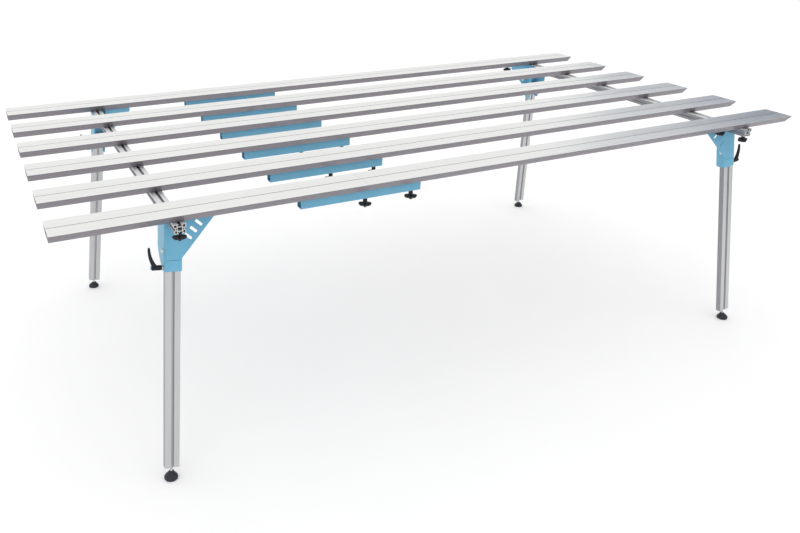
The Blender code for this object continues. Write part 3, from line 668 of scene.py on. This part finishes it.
def leg_mesh():
    """Slotted extrusion from its lower end to a crown rounded about the pivot."""
    h = LEG_D / 2 - LEG_WALL
    side = rectangle(LEG_SLOT_IN_W / 2 + LEG_WALL, LEG_W / 2 - LEG_WALL, -h, h, LEG_CELL_R)
    cells = [circle(STEM_R + RUN, STEM_POINTS), fillet(side), fillet(flipped(side))]
    # The chambers take the slot's painted-shade colour
    leg = prism(leg_profile(), LEG_END, LEG_D, upright, cells, leg_mark, ON_LEG_CUT, ON_SHADED_LEG_SLOT)
    r, reach = LEG_D / 2 + RUN / 2, LEG_D
    turns = [math.pi * k / CROWN_STEPS for k in range(CROWN_STEPS + 1)]
    crown = [(-reach, LEG_END - LEG_D), (reach, LEG_END - LEG_D), (reach, 0.0)]
    crown += [(r * math.cos(t), r * math.sin(t)) for t in turns] + [(-reach, 0.0)]
    return cut(leg, prism(crown, -LEG_W, LEG_W, along_x), "INTERSECT")


# Levelling feet
DOME_H = 0.025                                 # the solid's dome is lower
THREAD_PITCH, THREAD_D = 0.00125, 0.0004       # an M8 thread
FOOT_POINTS, FOOT_SMOOTH, STEM_SMOOTH = 48, 40.0, 20.0
LEVEL_SHARE = 0.5                              # up to this share of its height the dome stands level
# Dome: share of its height, share of its radius
FOOT_RINGS = ((0.0, 0.90), (0.025, 0.955), (0.06, 0.985), (0.12, 1.0), (0.22, 1.0), (0.32, 0.975),
              (0.41, 0.915), (0.50, 0.83), (0.59, 0.73), (0.68, 0.625), (0.77, 0.525), (0.86, 0.44),
              (0.93, 0.385), (0.98, 0.35), (1.0, 0.30))


def stem_mesh():
    """Threaded stem: shallow ridges at the thread's pitch."""
    rings, z = [], FLOOR_AT + DOME_H
    while z < LEG_END + STEM_IN:
        for share, depth in ((0.0, THREAD_D), (0.5, 0.0)):
            ridge = circle(STEM_R - depth, STEM_POINTS)
            rings.append([Vector((a, b, z + THREAD_PITCH * share)) for a, b in ridge])
        z += THREAD_PITCH
    return loft(rings, smooth=STEM_SMOOTH)


def foot_mesh(lean):
    """Domed foot, level on the floor, its cap following the leg."""
    rings = []
    for z, r in FOOT_RINGS:
        shift = lean * (DOME_H * z * max(0.0, z - LEVEL_SHARE) / (1.0 - LEVEL_SHARE))
        level = circle(FOOT_R * r, FOOT_POINTS)
        rings.append([Vector((a + shift.x, b + shift.y, DOME_H * z)) for a, b in level])
    return loft(rings, smooth=FOOT_SMOOTH)


# Clamp levers
LEVER_POINTS, HUB_SMOOTH, ARM_SMOOTH = 28, 40.0, 50.0
# Arm: out from the sleeve, up, half thickness in the plane of the arm and across it
ARM = ((0.0215, -0.0010, 0.0072, 0.0070), (0.0245, 0.0050, 0.0070, 0.0068), (0.0285, 0.0125, 0.0062, 0.0064),
       (0.0322, 0.0205, 0.0055, 0.0060), (0.0352, 0.0290, 0.0050, 0.0056), (0.0375, 0.0380, 0.0045, 0.0052),
       (0.0388, 0.0470, 0.0040, 0.0048), (0.0392, 0.0545, 0.0036, 0.0043), (0.03925, 0.0580, 0.0027, 0.0032),
       (0.03925, 0.0594, 0.0010, 0.0012))
# Steel collar, hub and push button: out from the sleeve, radius
COLLAR = ((0.0, 0.0056), (0.0004, 0.0060), (0.0034, 0.0060))
HUB = ((0.0034, 0.0062), (0.0040, 0.0068), (0.0090, LEVER_HUB_R), (0.0300, LEVER_HUB_R), (0.0318, 0.0069),
       (0.0326, 0.0058), (0.0328, 0.0050))
PUSH_BUTTON = ((0.0328, 0.0046), (0.0344, 0.0046), (0.0350, 0.0036))


def lever_mesh():
    """Clamp lever: steel stud and collar, hub with a push button, and an arm that sweeps up and thins."""
    face, axis_w = OUT_W + SEAT, MOUTH + LEVER_UP

    def ring(u, w, heading, across, along):
        su, sw = math.sin(heading), math.cos(heading)
        out = []
        for i in range(LEVER_POINTS):
            a = 2 * math.pi * i / LEVER_POINTS
            side = along * math.sin(a)
            out.append(Vector((-face - u + su * side, across * math.cos(a), axis_w + w + sw * side)))
        return out
    stud = ((LEG_W / 2 + SEAT - face, LEVER_STUD_R), (0.0, LEVER_STUD_R))
    rings = [ring(u, 0.0, 0.0, r, r) for u, r in stud + COLLAR + HUB + PUSH_BUTTON]
    marks = [1] * len(stud + COLLAR) + [0] * len(HUB) + [2] * len(PUSH_BUTTON)
    hub = loft(rings, marks, HUB_SMOOTH)
    rings = []
    for i, (u, w, along, across) in enumerate(ARM):
        before, after = ARM[max(i - 1, 0)], ARM[min(i + 1, len(ARM) - 1)]
        heading = math.atan2(after[1] - before[1], after[0] - before[0])
        rings.append(ring(u, w, heading, across, along))
    return cut(hub, loft(rings, smooth=ARM_SMOOTH), "UNION")


# Pivot bolts
BOLT_POINTS, BOLT_SMOOTH = 24, 30.0
BOLT_END_R, BOLT_CHAMFER_H, WASHER_T = 0.0052, 0.0006, 0.0012


def bolt_mesh():
    """Pivot bolt across the sleeve: hex head, washers and nut."""
    def ring(u, radius, hexed):
        out = []
        for i in range(BOLT_POINTS):
            a = 2 * math.pi * i / BOLT_POINTS
            flat = math.cos(math.pi / 6) / math.cos((a + math.pi / 6) % (math.pi / 3) - math.pi / 6)
            r = radius * (1.0 - hexed + hexed * flat)
            out.append(Vector((u, r * math.cos(a), r * math.sin(a))))
        return out
    face = OUT_W + SEAT
    end, washer = face + BOLT_HEAD_H, face + WASHER_T
    half = [(end, BOLT_END_R, 0.0), (end - BOLT_CHAMFER_H, BOLT_HEAD_R, 1.0), (washer, BOLT_HEAD_R, 1.0),
            (washer, BOLT_HEAD_R, 0.0), (face, BOLT_HEAD_R, 0.0), (face, BOLT_R, 0.0)]
    rings = [ring(-u, r, h) for u, r, h in half] + [ring(u, r, h) for u, r, h in reversed(half)]
    return loft(rings, smooth=BOLT_SMOOTH)


# Corner brackets, in the front left corner's axes
FL = FRAMES["fl"][0]
TO_FL = FL.inverted()
beam_box, rail_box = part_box("crossbeam_left"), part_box("rail_1_short")
CORNER_AT = Vector(((beam_box[0].x + beam_box[1].x) / 2, (rail_box[0].y + rail_box[1].y) / 2, 0.0))
BEAM_TOP_Z = beam_box[1].z
FLANGE_TOP_Z = rail_box[0].z - SEAT
CLAMP_Y = joints["flange_knob_fr_turn"]["pos_m"][1] - CORNER_AT.y
PLATE_TOP = FLANGE_TOP_Z - PIVOT_Z + WING_RISE
SLEEVE_BACK = -OUT_D + SLEEVE_DEEP
FOLD_R, FOLD_IN_R, TAB_R = 0.0065, 0.001, 0.005
FOLD_STEPS, CORNER_STEPS, TAB_STEPS, WING_STEPS, BORE_POINTS = 8, 6, 5, 20, 32
SCORE_D = 0.0014       # deeper than in the solid, so that it shows
FAR, HAIR = 0.4, 0.00003
WELD_UNDER, EDGE_BEVEL, BEVEL_OVER = 0.00002, 0.0005, math.radians(40.0)


def table_axes(a, b, c):
    """Point from the crossbeam's middle, the front rail's middle and the floor, in the corner's axes."""
    return TO_FL @ (CORNER_AT + Vector((a, b, c)))


def beam_axes(a, b, c):
    """The same from the crossbeam's top, with its length last."""
    return table_axes(a, c, BEAM_TOP_Z + b)


def plate_uw(x, z, v):
    """Coordinates (u, w) of the point at x and z on the corner's plane at v."""
    (ux, vx, wx, px), _, (uz, vz, wz, pz), _ = FL
    dx, dz = CORNER_AT.x + x - px - vx * v, z - pz - vz * v
    u = (dx * wz - dz * wx) / (ux * wz - uz * wx)
    return u, (dz - u * uz) / wz


def bore_u(radius, u0, u1, w):
    """Round cutter across the sleeve, at a height w."""
    return prism(circle(radius, BORE_POINTS), u0, u1, lambda a, b, c: Vector((c, a, w + b)))


def folded_sleeve():
    """Sleeve with rounded folds, whose outer side swells into the wing."""
    back = SLEEVE_BACK
    bent = [(-OUT_W, back + WING, 0.0), (-OUT_W, -OUT_D, FOLD_R), (OUT_W, -OUT_D, FOLD_R), (OUT_W, back, 0.0),
            (HALF_W, back, 0.0), (HALF_W, -HALF_D, FOLD_IN_R), (-HALF_W, -HALF_D, FOLD_IN_R),
            (-HALF_W, back + WING, 0.0)]
    body = prism(fillet(bent, FOLD_STEPS), MOUTH - FAR, PLATE_TOP + FAR, upright)
    side = [(-FAR, MOUTH, 0.0), (back, MOUTH, SLEEVE_CORNER)]
    for k in range(WING_STEPS + 1):
        swell = WING * math.sin(math.pi / 2 * k / WING_STEPS)
        side.append((back + swell, MOUTH + WING_FROM + WING_RISE * k / WING_STEPS, 0.0))
    side += [(back + WING, PLATE_TOP, 0.0), (-FAR, PLATE_TOP, 0.0)]
    return cut(body, prism(fillet(side, CORNER_STEPS), -FAR, FAR, along_x), "INTERSECT")


def gusset_plate():
    """Front plate that widens from the heel to the gusset's tip, with slots along its sloping edge."""
    tip_low = Vector(plate_uw(GUSSET_OUT, FLANGE_TOP_Z - GUSSET_EDGE, -OUT_D))
    tip_top = plate_uw(GUSSET_OUT, FLANGE_TOP_Z + GUSSET_EDGE, -OUT_D)
    heel = Vector((OUT_W, MOUTH + HEEL_H))
    run = tip_low - heel
    along = run.normalized()
    inward = Vector((-along.y, along.x))
    slots = []
    for k in range(SLOT_COUNT):
        at = run.length / 2 + (k - (SLOT_COUNT - 1) / 2) * SLOT_STEP
        centre = heel + along * at + inward * SLOT_IN
        slots.append(stadium(SLOT_LEN, SLOT_W, centre, math.atan2(inward.y, inward.x)))
    outline = [(0.0, heel.y), tuple(heel), tuple(tip_low), tip_top, (0.0, PLATE_TOP)]
    return prism(outline, -OUT_D + HAIR, -HALF_D - HAIR, along_y, slots)


def flange_tab(reach):
    """Flange under the rail, out to reach, with rounded inner corners."""
    near, edge, middle = BEAM_TOP_W / 2, CLAMP_Y - FLANGE_MARGIN, -OUT_D + SHEET / 2
    bend = []
    for x in (near, reach):
        u, w = plate_uw(x, FLANGE_TOP_Z - SHEET / 2, middle)
        bend.append((FL @ Vector((u, middle, w))).y - CORNER_AT.y)
    tab = [(near, edge, TAB_R), (reach, edge, TAB_R), (reach, bend[1], 0.0), (near, bend[0], 0.0)]
    return prism(fillet(tab, TAB_STEPS), FLANGE_TOP_Z - SHEET, FLANGE_TOP_Z + SHEET, table_axes)


def bracket_cutters(holes):
    """What is cut away: all above the flange, the crossbeam's notch, bores, score line and clamp holes."""
    lid = [(-FAR, -FAR), (FAR, -FAR), (FAR, FAR), (-FAR, FAR)]
    notch = [(BEAM_FOOT_W / 2 + NOTCH, -BEAM_H - NOTCH), (BEAM_TOP_W / 2 + NOTCH, -BEAM_LIP - NOTCH),
             (BEAM_TOP_W / 2 + NOTCH, SHEET)]
    notch += [(-a, b) for a, b in reversed(notch)]
    left, right = -OUT_W + 2 * SHEET, OUT_W + SHEET
    low, high = MOUTH + BAND_H - SCORE_W / 2, MOUTH + BAND_H + SCORE_W / 2
    score = [(left, low), (right, low), (right, high), (left, high)]
    cutters = [prism(lid, FLANGE_TOP_Z, FLANGE_TOP_Z + FAR, table_axes), prism(notch, -FAR, FAR, beam_axes),
               bore_u(BOLT_R + RUN, -FAR, FAR, 0.0), bore_u(LEVER_STUD_R + RUN, -FAR, 0.0, MOUTH + LEVER_UP),
               prism(score, -OUT_D - SCORE_D, -OUT_D + SCORE_D, along_y)]
    for x in holes:
        hole = circle(KNOB_STUD_R + RUN, BORE_POINTS, (x, CLAMP_Y))
        cutters.append(prism(hole, FLANGE_TOP_Z - 2 * SHEET, FLANGE_TOP_Z + SHEET, table_axes))
    return cutters


def bracket_mesh(reach, holes):
    """Folded corner bracket: sleeve, wing, gusset and flange."""
    body = cut(folded_sleeve(), gusset_plate(), "UNION")
    body = cut(body, flange_tab(reach), "UNION")
    for cutter in bracket_cutters(holes):
        body = cut(body, cutter, "DIFFERENCE")
    return body


def soften(bracket):
    """Break the bracket's edges."""
    bracket.modifiers.new("weld", "WELD").merge_threshold = WELD_UNDER
    bevel = bracket.modifiers.new("edges", "BEVEL")
    bevel.width, bevel.segments = EDGE_BEVEL, 2
    bevel.limit_method, bevel.angle_limit = "ANGLE", BEVEL_OVER
    bracket.modifiers.new("normals", "WEIGHTED_NORMAL").keep_sharp = True


# The four corners
leg_template, stem_template = leg_mesh(), stem_mesh()
lever_template, bolt_template = lever_mesh(), bolt_mesh()
brackets = {"l": bracket_mesh(GUSSET_OUT, ()), "r": bracket_mesh(CLAMP_HOLES[1] + FLANGE_TIP, CLAMP_HOLES)}
for tag in CORNERS:
    leg, foot, lever, bolt = f"leg_{tag}", f"foot_{tag}", f"clamp_lever_{tag}", f"pivot_bolt_{tag}"
    corner_piece(f"{leg}_dressed", tag, leg_template, leg, LEG_MATERIALS, leg)
    corner_piece(f"stem_{tag}", tag, stem_template, foot, [STEEL], None)
    corner_piece(f"{lever}_dressed", tag, lever_template, lever, [LEVER_BLACK, STEEL, BUTTON], lever)
    corner_piece(f"{bolt}_dressed", tag, bolt_template, "frame", [STEEL], bolt)
    matrix = FRAMES[tag][0]
    ground, up = matrix @ Vector((0.0, 0.0, FLOOR_AT)), matrix.col[2].xyz
    add(f"{foot}_dressed", foot_mesh(up / up.z), foot, [FOOT_BLACK], Matrix.Translation(ground), foot)
    bracket = corner_piece(f"bracket_{tag}_dressed", tag, brackets[tag[-1]], "frame", [BLUE],
                           f"bracket_{tag}", level=True)
    soften(bracket)


# Studio
FLOOR_SIZE, FLOOR_Z, FLOOR_LIFT = 14.0, -0.0003, 0.16
SKY_LIGHT, SKY_WHITE = 0.90, 1.0
SUN_STRENGTH, SUN_SPREAD = 0.3, math.radians(80.0)
SUN_TILT = (math.radians(-14.0), math.radians(-20.0), 0.0)
# Painted reflection: a card seen only in the metal, shaded from dark to light
CARD_X, CARD_Y, CARD_Z = 5.0, (-3.0, 4.2), (0.0, 4.1)
CARD_SHADE_Y, CARD_SHADE_Z = (2.0, 2.9), (2.1, 4.1)
CARD_LOW, CARD_HIGH, CARD_NEAR = (0.56, 0.585, 0.64), (0.88, 0.90, 0.93), (0.46, 0.50, 0.58)


def background_rays(tree, strength):
    """Strength for the rays that see the background: from the camera, mirrors and glass."""
    path = tree.nodes.new("ShaderNodeLightPath")
    value = path.outputs["Is Camera Ray"]
    for kind in ("Is Glossy Ray", "Is Transmission Ray"):
        either = tree.nodes.new("ShaderNodeMath")
        either.operation = "MAXIMUM"
        tree.links.new(value, either.inputs[0])
        tree.links.new(path.outputs[kind], either.inputs[1])
        value = either.outputs[0]
    scale = tree.nodes.new("ShaderNodeMath")
    scale.operation = "MULTIPLY"
    scale.inputs[1].default_value = strength
    tree.links.new(value, scale.inputs[0])
    return scale.outputs[0]


def stage_sheet(name, corners, material):
    """Flat sheet of the studio, which isn't part of the object."""
    mesh = bpy.data.meshes.new(name)
    mesh.from_pydata(corners, [], [(0, 1, 2, 3)])
    mesh.materials.append(material)
    sheet = bpy.data.objects.new(name, mesh)
    bpy.context.scene.collection.objects.link(sheet)
    return sheet


def floor_paper():
    """Pale paper, lifted a little for the rays that see the background."""
    k = Nodes("floor_paper")
    fibre = k.noise(3.0, vary=False)
    k.shader.inputs["Emission Color"].default_value = (*WHITE, 1.0)
    k.link(background_rays(k.tree, FLOOR_LIFT), k.shader.inputs["Emission Strength"])
    return k.done(k.tint(fibre, scaled(WHITE, 0.925), scaled(WHITE, 0.94)), k.spread(fibre, 0.85, 0.95),
                  k.bump(fibre, strength=0.02, distance=0.001), Specular_IOR_Level=0.1)


def painted_reflection_card():
    """Blue-grey felt, lighter upward and away from the viewer: a painted reflection that darkens what the
    metal mirrors.
    """
    k = Nodes("painted_reflection_card")
    nap = k.noise(40.0, vary=False)
    axes = k.tree.nodes.new("ShaderNodeSeparateXYZ")
    k.link(k.place, axes.inputs[0])
    upward = k.tint(k.spread(axes.outputs["Z"], 0.0, 1.0, *CARD_SHADE_Z), CARD_LOW, CARD_HIGH, 0.0, 1.0)
    away = k.tint(k.spread(axes.outputs["Y"], 0.0, 1.0, *CARD_SHADE_Y), CARD_NEAR, WHITE, 0.0, 1.0)
    shade = k.multiply(upward, away)
    return k.done(k.multiply(shade, k.tint(nap, scaled(WHITE, 0.95), WHITE)), k.spread(nap, 0.9, 1.0),
                  k.bump(nap, strength=0.1, distance=0.001), Specular_IOR_Level=0.1)


def studio_world():
    """White where camera, mirrors and glass look, plain light elsewhere."""
    world = bpy.data.worlds.new("studio")
    world.use_nodes = True
    tree = world.node_tree
    tree.nodes.clear()
    blend = tree.nodes.new("ShaderNodeMixShader")
    for socket, strength in ((1, SKY_LIGHT), (2, SKY_WHITE)):
        sky = tree.nodes.new("ShaderNodeBackground")
        sky.inputs["Color"].default_value = (*WHITE, 1.0)
        sky.inputs["Strength"].default_value = strength
        tree.links.new(sky.outputs[0], blend.inputs[socket])
    tree.links.new(background_rays(tree, 1.0), blend.inputs["Fac"])
    tree.links.new(blend.outputs[0], tree.nodes.new("ShaderNodeOutputWorld").inputs["Surface"])
    return world


s = FLOOR_SIZE
stage_sheet("floor", [(-s, -s, FLOOR_Z), (s, -s, FLOOR_Z), (s, s, FLOOR_Z), (-s, s, FLOOR_Z)], floor_paper())
bpy.context.scene.world = studio_world()
sun = bpy.data.objects.new("soft_sun", bpy.data.lights.new("soft_sun", "SUN"))
sun.data.energy, sun.data.angle, sun.rotation_euler = SUN_STRENGTH, SUN_SPREAD, SUN_TILT
bpy.context.scene.collection.objects.link(sun)

# Card beside the table's right end, seen only in the metal: a painted reflection that darkens the rails
# toward that end
(y0, y1), (z0, z1) = CARD_Y, CARD_Z
card_corners = [(CARD_X, y0, z0), (CARD_X, y1, z0), (CARD_X, y1, z1), (CARD_X, y0, z1)]
card = stage_sheet("card", card_corners, painted_reflection_card())
card.visible_camera = card.visible_shadow = card.visible_diffuse = False

# Camera, fitted to the photo
CAM_AT = Vector((-1.4425, -2.5353, 1.621))
YAW, PITCH, ROLL = math.radians(24.63), math.radians(27.77), math.radians(0.06)
SENSOR_W, LENS, SHIFT = 36.0, 34.31, (0.0925, 0.0238)
camera = bpy.data.objects.new("camera", bpy.data.cameras.new("camera"))
bpy.context.scene.collection.objects.link(camera)
ahead = Vector((math.sin(YAW) * math.cos(PITCH), math.cos(YAW) * math.cos(PITCH), -math.sin(PITCH)))
right = Vector((math.cos(YAW), -math.sin(YAW), 0.0))
up = right.cross(ahead)
turned = (right * math.cos(ROLL) + up * math.sin(ROLL), up * math.cos(ROLL) - right * math.sin(ROLL), -ahead)
camera.matrix_world = Matrix.Translation(CAM_AT) @ Matrix(turned).transposed().to_4x4()
camera.data.sensor_width, camera.data.lens = SENSOR_W, LENS
camera.data.shift_x, camera.data.shift_y = SHIFT
bpy.context.scene.camera = camera
bpy.context.scene.view_settings.view_transform = "Standard"
